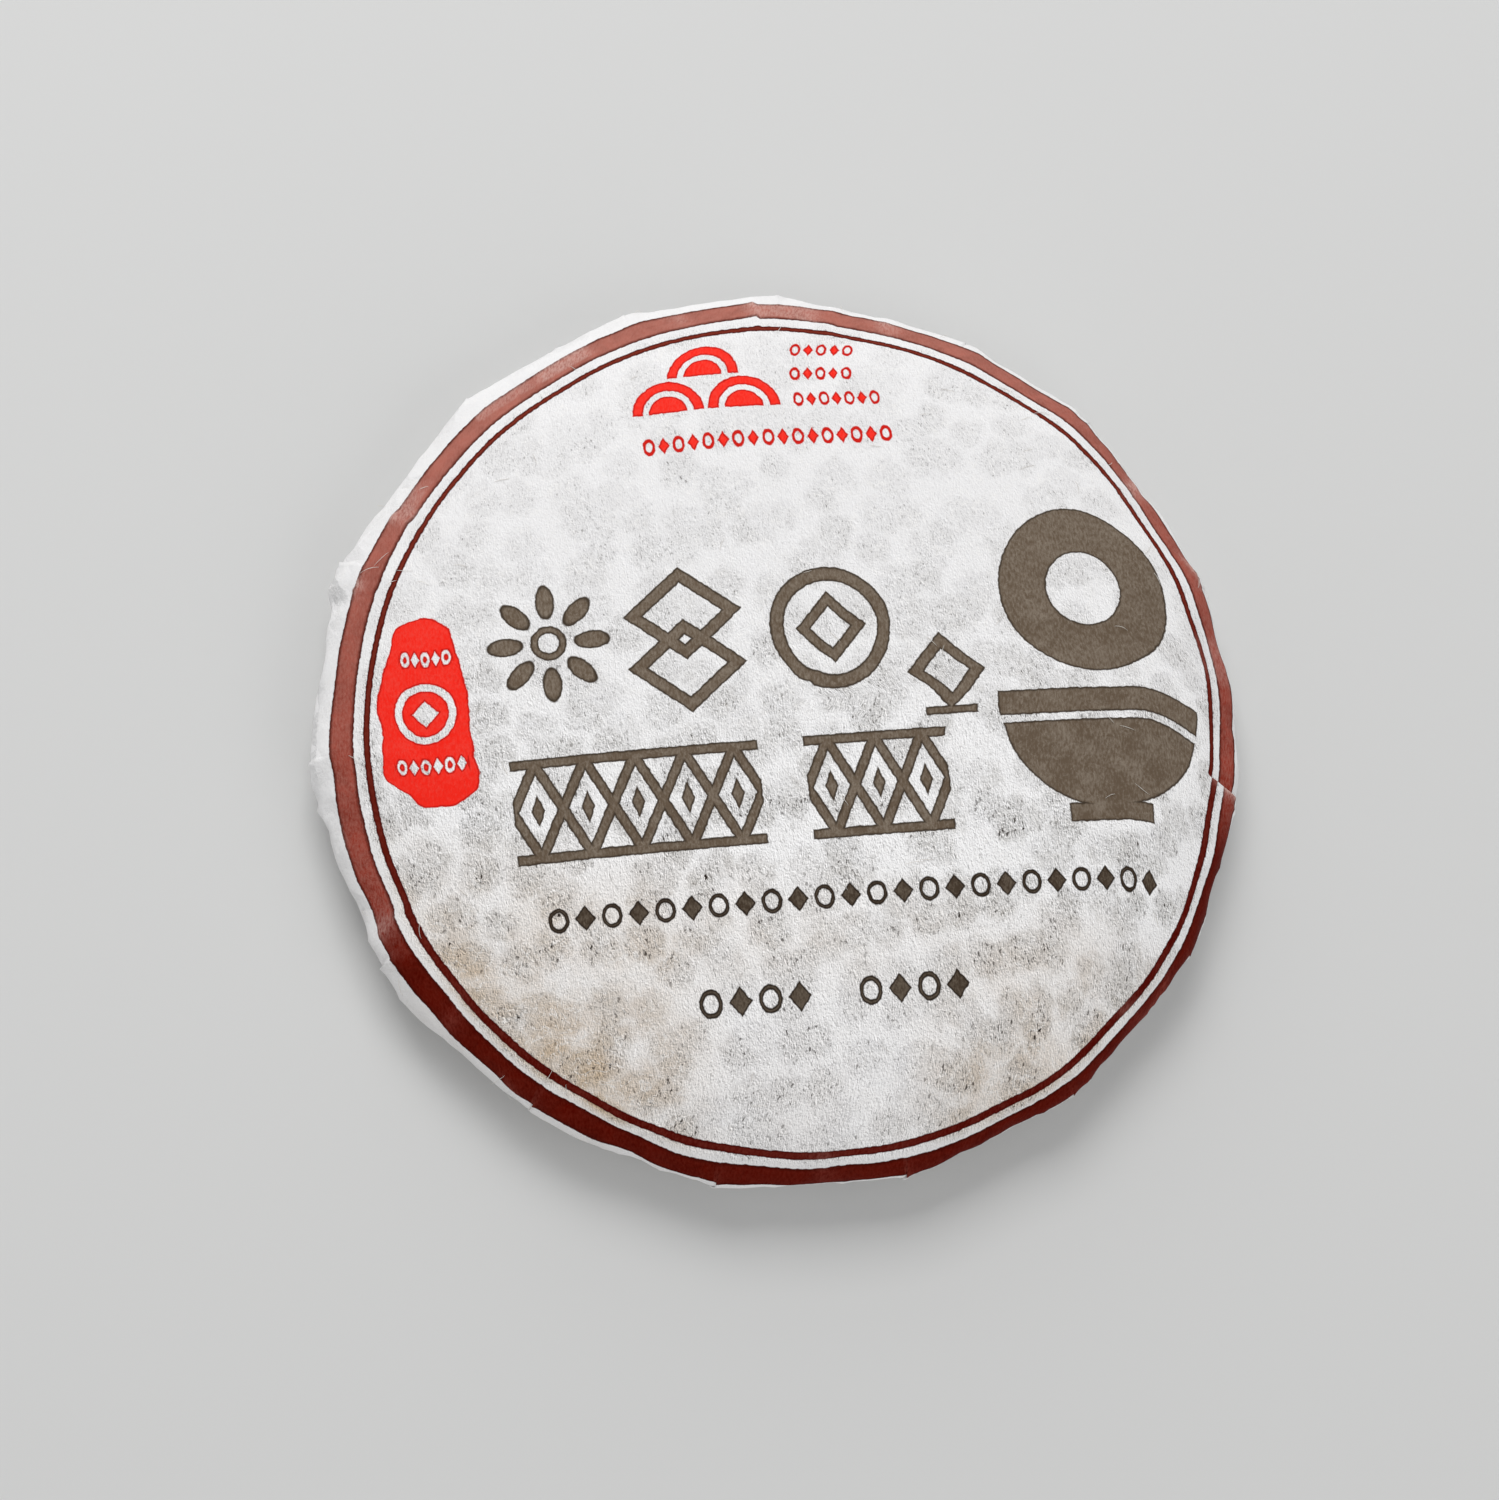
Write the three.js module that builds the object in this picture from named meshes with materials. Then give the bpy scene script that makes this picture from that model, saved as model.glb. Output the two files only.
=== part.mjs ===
// A small round cake of pressed ripe tea, shut in its paper wrapper and lying on its pleated back.
// One closed solid: a slightly domed printed face, a rounded edge that the paper crosses in flat
// facets, and a back where the paper is laid in overlapping pleats that meet in a tucked-in middle.
// Millimetres. +Z is up, out of the printed face. +X is the print's right and +Y its top.

import * as THREE from "three";

// The pressed cake and its paper, seen from the side.
const CAKE_RADIUS = 52.6;
const PLEAT_RADIUS = 53.9;
const EDGE_HEIGHT = 6.5;
const FACE_RISE = 10.5;
const FACE_ROUNDNESS = 3;
const BACK_FALL = 7.3;
const BACK_ROUNDNESS = 6;

// Where the folds of the paper cross the widest place, in degrees round the cake from +X.
const FOLD_ANGLES = [14, 40, 59, 84, 104, 127, 154, 180, 207, 232, 256, 279, 302, 325, 351];

// How the folds run: flat near the middle of the face, deepest on the back.
const FACETS_START = 40;
const FOLD_STEP_EDGE = 0.55;
const FOLD_STEP_BACK = 0.85;
const PRESSED_FLAT = 0.4;
const SWIRL_EDGE = 3;
const SWIRL_BACK = 34;

// The tucked-in middle of the back.
const TUCK_RADIUS = 14;
const TUCK_DEPTH = 3.5;
const KNOT_RADIUS = 4.2;
const KNOT_HEIGHT = 2;
const GATHER_DEPTH = 0.5;

// How finely the surface is divided.
const FACE_ROWS = 14;
const EDGE_ROWS = 8;
const BACK_RADII = [38, 34, 29.5, 25, 21, 17.5, 14, 11, 8, 5.2, 3.2];
const PLEAT_COLUMNS = [0, 0.1, 0.26, 0.44, 0.62, 0.8, 0.96];

const PAPER = { color: 0xe3e0dd, roughness: 0.85, metalness: 0 };

const lerp = THREE.MathUtils.lerp;
const radians = THREE.MathUtils.degToRad;
const smooth = THREE.MathUtils.smoothstep;

// The profile as rows from the middle of the back, out round the edge and up to the middle of the
// face. Each row has its radius and height, and three shares from 0 to 1 that say how far the
// paper has come: over the rounded edge of the face, on down to the back's rim, and in from there.
function profileRows() {
  const rows = [];
  for (let i = 0; i <= FACE_ROWS; i += 1) {
    const angle = (i / FACE_ROWS) * Math.PI * 0.5;
    const radius = CAKE_RADIUS * Math.sin(angle) ** (2 / FACE_ROUNDNESS);
    const height = EDGE_HEIGHT + FACE_RISE * Math.cos(angle);
    const over = smooth(radius, FACETS_START, CAKE_RADIUS);
    rows.push({ radius, height, over, down: 0, inward: 0 });
  }
  const touchAngle = Math.acos(-EDGE_HEIGHT / BACK_FALL);
  for (let i = 1; i <= EDGE_ROWS; i += 1) {
    const angle = lerp(Math.PI * 0.5, touchAngle, i / EDGE_ROWS);
    const radius = CAKE_RADIUS * Math.sin(angle) ** (2 / BACK_ROUNDNESS);
    const height = EDGE_HEIGHT + BACK_FALL * Math.cos(angle);
    rows.push({ radius, height, over: 1, down: i / EDGE_ROWS, inward: 0 });
  }
  const backRim = rows.at(-1).radius;
  for (const radius of [...BACK_RADII, 0]) {
    const tuck = TUCK_DEPTH * (1 - smooth(radius, KNOT_RADIUS, TUCK_RADIUS));
    const knot = KNOT_HEIGHT * (1 - smooth(radius, 0, KNOT_RADIUS));
    rows.push({ radius, height: tuck - knot, over: 1, down: 1, inward: 1 - radius / backRim });
  }
  return rows.reverse();
}

// Outline of the paper in plan: straight between the folds, but never inside the round cake.
// It is given as a factor on the cake's radius, at a share of the way from one fold to the next.
function facetFactor(pleatWidth, share) {
  const half = pleatWidth / 2;
  const fromMiddle = (share - 0.5) * pleatWidth;
  const chord = (PLEAT_RADIUS * Math.cos(half)) / Math.cos(fromMiddle);
  return Math.max(chord, CAKE_RADIUS) / CAKE_RADIUS;
}

// The outer side of a pleat stands proud at its own fold and slopes down under the next one.
function pleatLevel(share) {
  const tail = PLEAT_COLUMNS.at(-1);
  return share <= tail ? 1 - share / tail : (share - tail) / (1 - tail);
}

// How deep the folds are at a row, from nothing on the face to their deepest on the back, and
// shallower again where the paper is gathered into the tuck.
function foldDepth(row) {
  const onBack = lerp(FOLD_STEP_EDGE, FOLD_STEP_BACK, row.down);
  const gathered = smooth(row.radius, KNOT_RADIUS, TUCK_RADIUS);
  return row.down < 1 ? onBack * row.over ** 2 : lerp(GATHER_DEPTH, onBack, gathered);
}

// A point of the paper at a row of the profile and a share of the way across a pleat. The weight
// of the cake presses the proud side of each pleat flat where it rests.
function surfacePoint(rows, rowIndex, pleat, share) {
  const row = rows[rowIndex];
  const before = rows[Math.max(rowIndex - 1, 0)];
  const after = rows[Math.min(rowIndex + 1, rows.length - 1)];
  const step = Math.hypot(after.radius - before.radius, after.height - before.height);
  const outSide = (after.height - before.height) / step;
  const outUp = (before.radius - after.radius) / step;

  const closed = smooth(row.radius, 0, KNOT_RADIUS);
  const sunk = foldDepth(row) * (1 - pleatLevel(share));
  const proud = (PRESSED_FLAT * row.down ** 3 - sunk) * closed;

  const start = radians(FOLD_ANGLES[pleat]);
  const next = FOLD_ANGLES[pleat + 1] ?? FOLD_ANGLES[0] + 360;
  const width = radians(next) - start;
  const facet = lerp(1, facetFactor(width, share), row.over * (1 - row.inward));
  const swirl = SWIRL_EDGE * (row.over + row.down - 1) + SWIRL_BACK * row.inward ** 1.4;
  const angle = start + share * width - radians(swirl);
  const radius = row.radius * facet + outSide * proud;
  return new THREE.Vector3(
    radius * Math.cos(angle),
    radius * Math.sin(angle),
    Math.max(row.height + outUp * proud, 0),
  );
}

// A turned body gives the grid of faces, and each of its points is then moved onto the wrapper.
// The uneven folds push the outline a little to one side, so the body is centred again at the end.
function wrappedCakeGeometry() {
  const rows = profileRows();
  const columns = FOLD_ANGLES.length * PLEAT_COLUMNS.length;
  const points = rows.map((row) => new THREE.Vector2(row.radius, row.height));
  const geometry = new THREE.LatheGeometry(points, columns);
  const position = geometry.attributes.position;
  for (let column = 0; column <= columns; column += 1) {
    const pleat = Math.floor((column % columns) / PLEAT_COLUMNS.length);
    const share = PLEAT_COLUMNS[column % PLEAT_COLUMNS.length];
    for (let rowIndex = 0; rowIndex < rows.length; rowIndex += 1) {
      const point = surfacePoint(rows, rowIndex, pleat, share);
      position.setXYZ(column * rows.length + rowIndex, point.x, point.y, point.z);
    }
  }
  geometry.computeBoundingBox();
  const middle = geometry.boundingBox.getCenter(new THREE.Vector3());
  return geometry.translate(-middle.x, -middle.y, 0);
}

const cake = new THREE.Mesh(wrappedCakeGeometry(), new THREE.MeshStandardMaterial(PAPER));
cake.name = "wrapped_tea_cake";

const model = new THREE.Group();
model.add(cake);

export default model;
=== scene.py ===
# A small round cake of pressed ripe tea, shut in its printed tissue wrapper and lying on its
# pleated back. The camera looks down on the printed face at the photograph's angle.

import math
from types import SimpleNamespace

import bpy
import numpy as np
from mathutils import Matrix, Vector


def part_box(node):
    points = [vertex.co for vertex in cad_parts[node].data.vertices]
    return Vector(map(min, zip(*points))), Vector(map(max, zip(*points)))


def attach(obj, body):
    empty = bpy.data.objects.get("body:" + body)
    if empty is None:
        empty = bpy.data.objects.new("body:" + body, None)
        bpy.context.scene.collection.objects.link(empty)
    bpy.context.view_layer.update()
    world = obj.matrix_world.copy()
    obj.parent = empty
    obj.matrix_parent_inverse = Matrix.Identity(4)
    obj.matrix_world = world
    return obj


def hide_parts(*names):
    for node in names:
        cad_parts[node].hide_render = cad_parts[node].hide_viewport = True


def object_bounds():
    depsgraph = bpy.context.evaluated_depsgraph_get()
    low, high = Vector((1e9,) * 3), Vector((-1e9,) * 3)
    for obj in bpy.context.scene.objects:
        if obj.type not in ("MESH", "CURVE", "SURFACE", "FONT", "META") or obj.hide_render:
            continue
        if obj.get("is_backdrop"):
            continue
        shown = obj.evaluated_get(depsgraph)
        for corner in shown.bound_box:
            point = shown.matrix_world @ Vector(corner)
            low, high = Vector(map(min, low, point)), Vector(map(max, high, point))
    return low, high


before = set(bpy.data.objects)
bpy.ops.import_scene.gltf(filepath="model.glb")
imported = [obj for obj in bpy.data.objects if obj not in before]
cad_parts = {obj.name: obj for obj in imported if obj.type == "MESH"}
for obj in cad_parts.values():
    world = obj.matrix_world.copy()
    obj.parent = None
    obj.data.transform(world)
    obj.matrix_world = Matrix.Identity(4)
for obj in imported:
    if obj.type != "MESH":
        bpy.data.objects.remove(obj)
CAD_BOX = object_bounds()

# Everything below is in millimetres until it is put into a mesh. +Z is up, out of the printed
# face, +X is the print's right and +Y its top.
MM = 0.001
NODE = "wrapped_tea_cake"
BODY = "root"

# The pressed cake and its paper, seen from the side.
CAKE_RADIUS = 52.6
PLEAT_RADIUS = 53.9
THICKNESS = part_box(NODE)[1].z / MM
EDGE_HEIGHT = 6.5
FACE_RISE = THICKNESS - EDGE_HEIGHT
FACE_ROUNDNESS = 3
BACK_FALL = 7.3
BACK_ROUNDNESS = 6

# Where the folds of the paper cross the widest place, in degrees round the cake from +X. Each
# fold shifts the printed rings outward by its jog, going anticlockwise. The one with a negative
# jog is laid the other way round.
FOLD_ANGLES = np.array([14, 40, 59, 84, 104, 127, 154, 180, 207, 232, 256, 279, 302, 325, 346.4])
FOLD_JOGS = np.array([0.6, 0.6, 0.5, 0.9, 0.7, 0.6, 0.8, 0.6, 0.7, 0.6, 0.6, 0.7, 0.6, 0.5, -0.7])
FORWARD = FOLD_JOGS > 0

# How much of the corner is lost at each fold, and the folds that stand prouder than the rest.
CORNER_LOSSES = np.array([0.7, 0.3, 0.6, 0.3, 0.3, 0.3, 0.3, 0.3, 0.6, 1.3, 0.3, 0.3, 0.3, 0.3, 1.0])
CORNER_REACH = 2.4
PROUD_FOLDS = ((154, 1.9), (180, 1.6), (207, 1.5))

# How the folds run: flat near the middle of the face, deepest on the back. The steps are a few
# times the paper's thickness, as the folds bulge a little. The cake's weight presses them flat,
# and a layer that is sunk under another keeps the gap's share of its depth above the table.
# Lengths of paper are counted from the middle of the face.
FACETS_START = 40
FOLDS_BEGIN = 50.5
FOLDS_OPEN_OVER = 8
REVERSED_FOLD_BEGINS = 48.3
REVERSED_FOLD_OPENS_OVER = 3
FOLD_STEP_EDGE = 0.32
FOLD_STEP_BACK = 0.5
PRESSED_FLAT = 0.15
LAYER_GAP = 0.35
OVERLAP_MOST = 3.0
OVERLAP_SHARE = 0.4

# How many degrees a fold line leans as it crosses the edge, which is more for the one that is laid
# the other way round, and how many more it turns by on the back.
FOLD_LEANS = np.where(FORWARD, 3.0, 6.6)
SWIRL_BACK = 34

# The tucked-in middle of the back.
TUCK_RADIUS = 14
TUCK_DEPTH = 3.5
KNOT_RADIUS = 4.2
KNOT_HEIGHT = 2
GATHER_DEPTH = 0.5

# The rows of the surface lie closest where the paper bends most: up to each length of paper, how
# far apart they are. The first and last rows lie this far from the middles of face and back.
ROW_STEPS = ((20, 0.8), (44, 0.5), (59, 0.36), (72, 0.5), (math.inf, 0.95))
FIRST_ROW = 0.8
LAST_ROW = 0.7

# Heights of the pressed leaves below the paper, and of its wrinkles, buckles and crumples, and how
# sharp a crumple and how wide half of a crease is.
LEAF_HEIGHT = 0.055
WRINKLE_HEIGHT = 0.06
BUCKLE_HEIGHT = 0.08
CRUMPLE_HEIGHT = 0.26
CRUMPLE_DEPTH = 0.2
CRUMPLE_SHARPNESS = 0.22
CREASE_HALF_WIDTH = 0.7

# Where the print is rubbed off: this far from a fold's line, this near to where the hidden paper
# comes out, and where a crease is this high.
WORN_WIDTH = 0.45
SLIT_WORN = 0.2
RIDGE_WORN = 0.15

# How far apart the thin spots of the tissue lie, and the crumpled facets of its margin.
SPOT_PITCH = 4.5
FACET_PITCH = 5.5

# The print lies a little to one side of the cake's middle, as the paper was laid by hand. Its two
# rings have these radii and widths.
PRINT_CENTRE = np.array([1.54, -1.97])
BROAD_RING = (52.48, 3.05)
THIN_RING = (49.35, 0.7)


def smooth(value, low, high):
    """0 below low, 1 above high and between them the S-shaped rise 3t^2 - 2t^3."""
    t = np.clip((value - low) / (high - low), 0, 1)
    return t * t * (3 - 2 * t)


def lerp(first, second, share):
    """The value at a share of the way from the first to the second."""
    return first + (second - first) * share


def waves(points, count, shortest, longest, seed):
    """Sum of plane waves cos(k.p + phase) in random directions, with wavelengths drawn between the
    shortest and the longest, scaled so that its usual size is 1."""
    draw = np.random.default_rng(seed)
    directions = draw.normal(size=(count, points.shape[-1]))
    directions /= np.linalg.norm(directions, axis=1, keepdims=True)
    lengths = draw.uniform(shortest, longest, (count, 1))
    phases = draw.uniform(0, 2 * np.pi, count)
    return np.cos(points @ (directions / lengths * 2 * np.pi).T + phases).sum(-1) / np.sqrt(count / 2)


def mesh_object(name, points, faces, material):
    """Puts points in millimetres and faces of three or four corners into a smooth mesh object."""
    mesh = bpy.data.meshes.new(name)
    mesh.from_pydata(points * MM, [], faces)
    mesh.polygons.foreach_set("use_smooth", np.ones(len(mesh.polygons), bool))
    mesh.materials.append(material)
    piece = bpy.data.objects.new(name, mesh)
    bpy.context.scene.collection.objects.link(piece)
    return piece


def side_profile():
    """The cake from the side, as rows from the middle of the face to the middle of the back.

    Face: radius = R sin(a)^(2/3), height = edge + rise cos(a), for a from 0 to 90 degrees.
    Edge: radius = R sin(a)^(1/3), height = edge + fall cos(a), from there until it rests.
    Back: flat, with a tuck that rises smoothly towards the middle and a knot that hangs in it.
    A dense line of these is sampled by its length. Its outward direction is across the line from
    a little before each sample to a little after it. Beside each row go three shares from 0 to 1:
    how far it is over the rounded edge, down to the back's rim, and in from there.
    """
    turn = np.linspace(0, np.pi / 2, 1500)
    touch = math.acos(-EDGE_HEIGHT / BACK_FALL)
    drop = np.linspace(np.pi / 2, touch, 500)[1:]
    rim = CAKE_RADIUS * math.sin(touch) ** (2 / BACK_ROUNDNESS)
    home = np.linspace(rim, 0, 900)[1:]

    tuck = TUCK_DEPTH * (1 - smooth(home, KNOT_RADIUS, TUCK_RADIUS))
    knot = KNOT_HEIGHT * (1 - smooth(home, 0, KNOT_RADIUS))
    face = CAKE_RADIUS * np.sin(turn) ** (2 / FACE_ROUNDNESS)
    edge = CAKE_RADIUS * np.sin(drop) ** (2 / BACK_ROUNDNESS)
    radius = np.concatenate([face, edge, home])
    height = np.concatenate([
        EDGE_HEIGHT + FACE_RISE * np.cos(turn),
        EDGE_HEIGHT + BACK_FALL * np.cos(drop),
        tuck - knot,
    ])
    over = np.concatenate([smooth(face, FACETS_START, CAKE_RADIUS), np.ones(len(edge) + len(home))])
    down = np.concatenate([0 * face, (drop - np.pi / 2) / (touch - np.pi / 2), np.ones(len(home))])
    inward = np.concatenate([0 * face, 0 * edge, 1 - home / rim])

    length = np.concatenate([[0], np.cumsum(np.hypot(np.diff(radius), np.diff(height)))])
    samples = [FIRST_ROW]
    for limit, step in ROW_STEPS:
        end = min(limit, length[-1] - LAST_ROW)
        count = max(round((end - samples[-1]) / step), 1)
        samples.extend(np.linspace(samples[-1], end, count + 1)[1:])
    samples = np.array(samples)

    near = 0.15
    side = {"length": samples}
    for name, values in (
        ("radius", radius), ("height", height), ("over", over), ("down", down), ("inward", inward),
    ):
        side[name] = np.interp(samples, length, values)
    rise = np.interp(samples + near, length, height) - np.interp(samples - near, length, height)
    reach = np.interp(samples + near, length, radius) - np.interp(samples - near, length, radius)
    slant = np.hypot(rise, reach)
    side["out_side"] = -rise / slant
    side["out_up"] = reach / slant
    column = {name: values[:, None] for name, values in side.items()}
    return SimpleNamespace(**column, ends=(height[0], height[-1]))


# One pleat's columns. The visible ones run from its own fold to the next, closest near the folds.
# The others follow the paper where it goes under the next pleat, turns back and comes out again:
# each has its share of the overlap, how high it lies between the two layers, and its share of the
# hidden paper.
VISIBLE = 27
TAIL = 0.97
SLIT = np.array([
    (0.0, 0.0, 0.02),
    (0.5, 0.0, 0.25),
    (1.0, 0.03, 0.48),
    (1.0, 0.12, 0.52),
    (0.5, 0.3, 0.75),
    (0.0, 0.42, 0.95),
    (-0.1, 0.7, 0.98),
])


def facet_factor(width, share, first_loss, second_loss):
    """Outline of the paper in plan, as a factor on the cake's radius: the straight line between two
    folds, radius = R cos(half) / cos(angle from the middle), but never inside the round cake. The
    corner at each fold is rounded off by a part that fades with the distance from it."""
    chord = PLEAT_RADIUS * np.cos(width / 2) / np.cos((share - 0.5) * width)
    from_first = np.abs(share) * width * CAKE_RADIUS
    from_second = np.abs(1 - share) * width * CAKE_RADIUS
    chord = chord - first_loss * np.exp(-from_first / CORNER_REACH)
    chord = chord - second_loss * np.exp(-from_second / CORNER_REACH)
    return np.maximum(chord, CAKE_RADIUS) / CAKE_RADIUS


# Single creases in the rounded edge: place in degrees, where they start and end on the paper, how
# far they lean for each 10 mm, and height.
CREASES = (
    (144, 43, 90, -2.5, 0.3), (97, 47, 90, -2.5, 0.1), (87, 47, 90, -1, 0.2), (69, 48, 90, -1, 0.2),
    (29, 48, 90, -1, 0.2), (217, 48, 90, -2, 0.1), (203, 49, 90, -1, 0.2), (268, 48, 90, -2, 0.1),
    (313, 48, 90, -2, 0.1), (147, 51.5, 59, -20, 0.5), (166, 52.5, 60, -16, 0.35),
    (192, 52, 60, 14, 0.35), (20, 51.5, 59, 16, 0.25), (157, 49, 62, 0, 0.25),
    (66, 53, 60, -14, 0.2), (118, 52, 60, 15, 0.3), (226, 52, 60, -15, 0.25), (322, 52, 60, 14, 0.3),
)

# Lumps and hollows: place in degrees and on the paper's length, half-sizes round the cake and
# across its edge, and height. First a dent on the face and small lumps in the margin, then broad
# bulges of the edge and one broad hollow.
LUMPS = (
    (-9, 46.5, 2.2, 2.2, -0.28), (152, 57, 3.2, 0.6, 0.26), (158, 56.6, 1.8, 0.8, 0.34),
    (160.5, 57, 1.5, 0.7, -0.26), (182.5, 57.4, 0.8, 1.8, 0.4), (184.5, 57, 0.9, 1.5, -0.3),
    (171, 57.5, 3, 0.7, 0.2), (118, 57, 2.6, 0.7, 0.2), (217, 58, 2.4, 0.9, 0.24),
    (47, 56, 2, 0.8, 0.16), (5, 56.6, 2.2, 0.8, 0.2), (-32, 57, 2, 0.9, 0.22),
    (0, 57.5, 7, 3.2, 1.2), (-11, 57.5, 5, 3, 1.0), (187, 58, 4.5, 2.6, 0.6),
    (192.5, 58, 3, 2.6, 0.5), (213, 58, 4, 2.5, 0.9), (25, 57.5, 3.5, 2.5, 1.0),
    (149, 58, 5, 2.6, 0.9), (161, 58, 4, 2.5, 0.8), (174, 58, 4, 2.5, 0.6), (115, 57, 5, 2.5, -0.5),
)

# How far the rings wander all round, and where they were laid a little further out than elsewhere:
# place and half-width in degrees, and how far.
RING_WANDER = 0.13
RING_SHIFTS = ((95, 15, 0.4), (1, 8, 0.75), (40, 8, 0.25), (-11, 4, 0.35))

# Kinks, where a crease moves the rings outward at once and they come back anticlockwise: place,
# how far, and over how many degrees they come back.
RING_KINKS = (
    (146.5, 0.5, 9), (157, 0.35, 7), (87, 0.6, 7), (76.5, 0.4, 6), (69, 0.15, 6), (29, 0.3, 6),
    (203, 0.3, 7),
)

# Patches where the rings are rubbed pale all over, from one place to another and how much, and the
# length of paper that they begin at.
RUBBED_PATCHES = ((78, 87.5, 0.38), (110, 119, 0.5), (119, 129, 0.3), (140, 147, 0.3), (0, 7, 0.22))
RUBBED_FROM = 49


def relief(angle, length, place):
    """How far the paper stands out from its smooth shape: broad unevenness of the pressed leaves
    everywhere, fine wrinkles and buckles across the rounded edge and on down the back, sharp
    crumples where a sum of waves crosses zero, single creases that run out to the edge, and lumps,
    each height exp(-(along/a)^2 - (across/b)^2). Gives the single creases by themselves too."""
    lean = np.stack([
        CAKE_RADIUS * np.cos(angle) + 0 * length,
        CAKE_RADIUS * np.sin(angle) + 0 * length,
        0.28 * length + 0 * angle,
    ], axis=-1)
    at_edge = smooth(length, 46, 55) * (1 - 0.5 * smooth(length, 72, 84))
    at_margin = smooth(length, 52, 57) * (1 - 0.6 * smooth(length, 62, 72))
    patchy = np.clip(0.6 + 0.4 * waves(place, 12, 14, 30, 5), 0, 1.5)
    leaves = LEAF_HEIGHT * waves(place, 60, 7, 15, 1) * (0.3 + 0.7 * smooth(length, 30, 50))
    wrinkles = WRINKLE_HEIGHT * waves(lean, 90, 2.2, 6, 2) * at_edge * patchy
    buckles = BUCKLE_HEIGHT * waves(place, 90, 3, 8, 3) * at_margin * patchy
    ridged = CRUMPLE_HEIGHT * np.exp(-np.abs(waves(place, 40, 8, 20, 9)) / CRUMPLE_SHARPNESS)
    grooved = CRUMPLE_DEPTH * np.exp(-np.abs(waves(place, 40, 8, 20, 10)) / CRUMPLE_SHARPNESS)
    crumples = (ridged - grooved) * at_margin

    def round_from(degrees):
        return ((angle - np.radians(degrees) + np.pi) % (2 * np.pi) - np.pi) * CAKE_RADIUS

    ridges = 0 * length + 0 * angle
    for degrees, start, end, slant, height in CREASES:
        across = np.abs(round_from(degrees - slant * (length - start) / 10))
        along = smooth(length, start, start + 3) * (1 - smooth(length, end, end + 3))
        ridges = ridges + height * np.exp(-across / CREASE_HALF_WIDTH) * along * at_edge
    lumps = 0 * length + 0 * angle
    for degrees, place_on_paper, half_round, half_across, height in LUMPS:
        gap = (round_from(degrees) / half_round) ** 2 + ((length - place_on_paper) / half_across) ** 2
        lumps = lumps + height * np.exp(-gap)
    return leaves + wrinkles + buckles + crumples + ridges + lumps, ridges


def following(values):
    """The values of each pleat's next fold, with a place for its columns."""
    return np.roll(values, -1, axis=-1)[..., None]


def pleat_rows(side):
    """How each pleat lies at each row of the profile: the line of its own fold as an angle round
    the cake, its width up to the next fold's line, and for both folds how far they have opened, how
    deep they are and how far their layers overlap. The lines lean as they cross the edge, by the
    lean times the share of the way down, and turn into a pinwheel on the back, by the swirl times
    the share of the way in to the power 1.4. The paper that the turn to the back leaves over is what
    overlaps."""
    folds = len(FOLD_ANGLES)
    draw = np.random.default_rng(11)
    depth_share = draw.uniform(0.75, 1.2, folds)
    for degrees, times in PROUD_FOLDS:
        depth_share[FOLD_ANGLES == degrees] *= times
    begin = np.where(FORWARD, FOLDS_BEGIN + draw.uniform(-1.5, 1.5, folds), REVERSED_FOLD_BEGINS)
    open_over = np.where(FORWARD, FOLDS_OPEN_OVER, REVERSED_FOLD_OPENS_OVER)
    opened = smooth(side.length, begin, begin + open_over)
    tucked = smooth(side.length, begin + 1, begin + 1 + open_over)

    turned = SWIRL_BACK * side.inward ** 1.4
    line = np.radians(FOLD_ANGLES - FOLD_LEANS * (side.over + side.down - 1) - turned)
    width = (following(line)[..., 0] - line) % (2 * np.pi)
    on_back = lerp(FOLD_STEP_EDGE, FOLD_STEP_BACK, side.down)
    gathered = smooth(side.radius, KNOT_RADIUS, TUCK_RADIUS)
    depth = np.where(side.down < 1, on_back * side.over ** 2, lerp(GATHER_DEPTH, on_back, gathered))
    depth = depth * opened * depth_share
    spare = np.minimum(np.pi / folds * (side.length - side.radius), OVERLAP_MOST)
    overlap = np.minimum(spare, OVERLAP_SHARE * width * side.radius) * tucked
    rows = {
        "line": line, "width": width, "opened": opened, "depth": depth, "overlap": overlap,
        "forward": FORWARD, "loss": CORNER_LOSSES,
    }
    own = {name: values[..., None] for name, values in rows.items()}
    of_next = {"next_" + name: following(values) for name, values in rows.items()}
    return SimpleNamespace(**own, **of_next)


def visible_columns(side, pleat):
    """A pleat's visible columns, from its own fold to the next. It stands proud at its own fold and
    sinks under the next one by that fold's depth, or the other way round at a fold that is laid so,
    and it settles a little just beside a fold that it lies over."""
    t = np.linspace(0, 1, VISIBLE)
    seen = TAIL * (t - 0.6 * np.sin(2 * np.pi * t) / (2 * np.pi))
    share = lerp(seen, seen / TAIL, pleat.next_opened)
    radius = side.radius[..., None]
    from_start = share * pleat.width * radius
    to_end = (1 - share) * pleat.width * radius
    risen_start = 1 - np.exp(-(from_start / np.maximum(pleat.overlap, 0.3)) ** 2)
    risen_end = 1 - np.exp(-(to_end / np.maximum(pleat.next_overlap, 0.3)) ** 2)
    start_level = np.where(pleat.forward, 0, -pleat.depth)
    end_level = np.where(pleat.next_forward, -pleat.next_depth, 0)
    settle_start = np.where(pleat.forward, pleat.depth, 0) * risen_start * (1 - share) ** 2
    settle_end = np.where(pleat.next_forward, 0, pleat.next_depth) * risen_end * share ** 2
    return SimpleNamespace(
        share=share,
        angle=pleat.line + share * pleat.width,
        level=lerp(start_level, end_level, share) - 0.4 * (settle_start + settle_end),
        facet=facet_factor(pleat.width, share, pleat.loss, pleat.next_loss),
    )


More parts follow.
